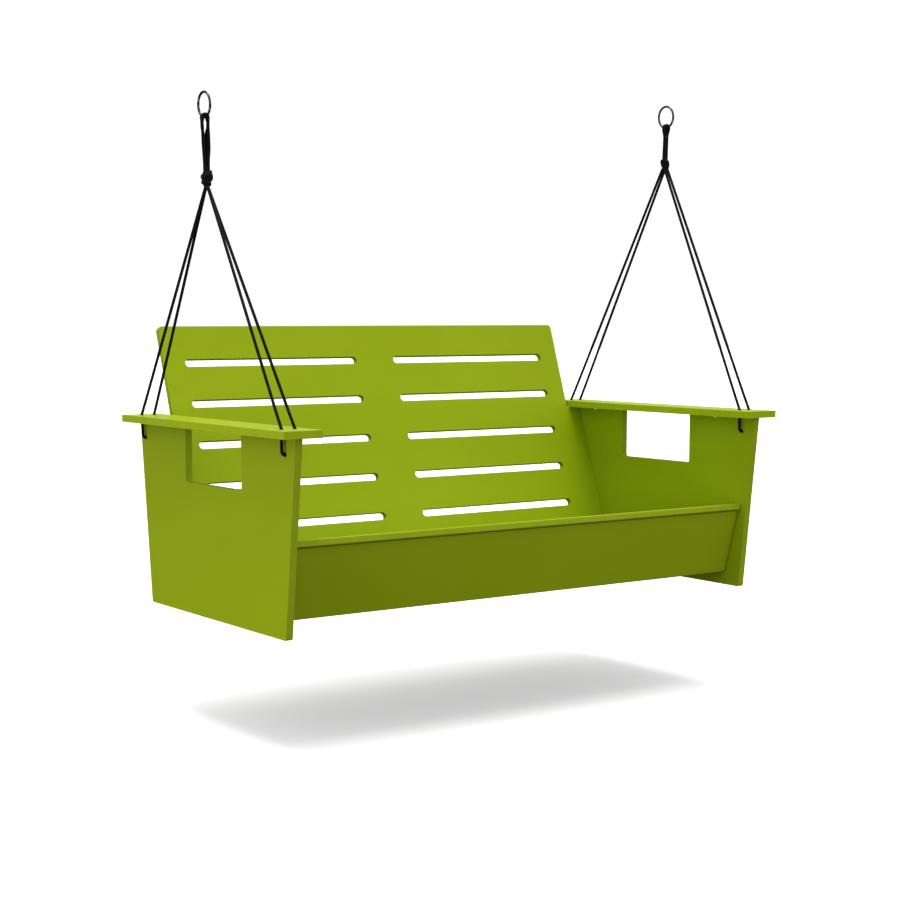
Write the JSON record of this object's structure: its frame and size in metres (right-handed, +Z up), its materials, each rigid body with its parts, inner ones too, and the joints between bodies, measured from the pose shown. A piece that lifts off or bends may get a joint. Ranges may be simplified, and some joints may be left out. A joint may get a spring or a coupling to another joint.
{
  "type": "hanging bench swing",
  "caption": "Hanging porch bench swing of green plastic sheet: flat seat, front apron, slotted reclined back, panel sides with arm windows, flat armrests, hung by knotted black ropes from rings",
  "frame": {"origin": "under the middle of the bench, on the plane of the side panels' bottom edges: the middle of the bounding box in X and Y, and its bottom in Z", "axes": "+Z up; +X along the bench to the sitter's left, the end with the higher ring; the bench faces -Y, and its back leans towards +Y"},
  "size_m": [1.615, 0.8816, 1.392],
  "materials": {
    "green_sheet": "through-coloured yellow-green polyethylene sheet with a faint grain and slightly rounded edges",
    "black_rope": "braided black synthetic rope",
    "polished_steel": "polished stainless round wire, welded into a ring",
    "plain_steel": "plain stainless screws and strip"
  },
  "bodies": {
    "rings": {"ring_left": "polished_steel", "ring_right": "polished_steel"},
    "rope_loops": {"rope_ring_loops_left": "black_rope", "rope_ring_loops_right": "black_rope"},
    "bench": {"apron_cleat_left": "green_sheet", "apron_cleat_right": "green_sheet", "apron_cleat_screw_1_left": "plain_steel", "apron_cleat_screw_1_right": "plain_steel", "apron_cleat_screw_2_left": "plain_steel", "apron_cleat_screw_2_right": "plain_steel", "armrest_left": "green_sheet", "armrest_plate_front_left": "plain_steel", "armrest_plate_front_right": "plain_steel", "armrest_plate_rear_left": "plain_steel", "armrest_plate_rear_right": "plain_steel", "armrest_right": "green_sheet", "armrest_screw_front_inner_left": "plain_steel", "armrest_screw_front_inner_right": "plain_steel", "armrest_screw_front_outer_left": "plain_steel", "armrest_screw_front_outer_right": "plain_steel", "armrest_screw_rear_inner_left": "plain_steel", "armrest_screw_rear_inner_right": "plain_steel", "armrest_screw_rear_outer_left": "plain_steel", "armrest_screw_rear_outer_right": "plain_steel", "back_cleat_left": "green_sheet", "back_cleat_right": "green_sheet", "back_cleat_screw_1_left": "plain_steel", "back_cleat_screw_1_right": "plain_steel", "back_cleat_screw_2_left": "plain_steel", "back_cleat_screw_2_right": "plain_steel", "back_panel": "green_sheet", "edge_screw_front_left": "plain_steel", "edge_screw_front_right": "plain_steel", "edge_screw_rear_left": "plain_steel", "edge_screw_rear_right": "plain_steel", "front_apron": "green_sheet", "rope_front_bight_left": "black_rope", "rope_front_bight_right": "black_rope", "rope_rear_bight_left": "black_rope", "rope_rear_bight_right": "black_rope", "seat_cleat_left": "green_sheet", "seat_cleat_right": "green_sheet", "seat_cleat_screw_1_left": "plain_steel", "seat_cleat_screw_1_right": "plain_steel", "seat_cleat_screw_2_left": "plain_steel", "seat_cleat_screw_2_right": "plain_steel", "seat_panel": "green_sheet", "side_panel_left": "green_sheet", "side_panel_right": "green_sheet"},
    "ropes_left": {"rope_knot_left": "black_rope", "rope_front_inner_left": "black_rope", "rope_front_outer_left": "black_rope", "rope_rear_inner_left": "black_rope", "rope_rear_outer_left": "black_rope"},
    "ropes_right": {"rope_knot_right": "black_rope", "rope_front_inner_right": "black_rope", "rope_front_outer_right": "black_rope", "rope_rear_inner_right": "black_rope", "rope_rear_outer_right": "black_rope"}
  },
  "joints": [
    {"name": "swing_fore_aft", "type": "hinge", "parent": "rings", "child": "rope_loops", "pos_m": [0, -0.008, 1.325], "axis": [0.9991, 0, 0.0427], "range_deg": [-30, 30]},
    {"name": "side_sway", "type": "slide", "parent": "rope_loops", "child": "bench", "axis": [1, 0, 0], "range_m": [-0.08, 0.08], "stiffness_N_per_m": 720},
    {"name": "rope_lean_left", "type": "hinge", "parent": "rope_loops", "child": "ropes_left", "pos_m": [-0.77069, -0.008, 1.26128], "axis": [0, -1, 0], "range_deg": [-6.2, 6.2], "deforming": ["rope_knot_left", "rope_front_inner_left", "rope_front_outer_left", "rope_rear_inner_left", "rope_rear_outer_left"]},
    {"name": "rope_lean_right", "type": "hinge", "parent": "rope_loops", "child": "ropes_right", "pos_m": [0.77331, -0.008, 1.32728], "axis": [0, -1, 0], "range_deg": [-5.7, 5.7], "deforming": ["rope_knot_right", "rope_front_inner_right", "rope_front_outer_right", "rope_rear_inner_right", "rope_rear_outer_right"]}
  ],
  "couplings": [
    {"joint": "rope_lean_left", "follows": "side_sway", "rad_per_m": 1.324},
    {"joint": "rope_lean_right", "follows": "side_sway", "rad_per_m": 1.2176}
  ]
}
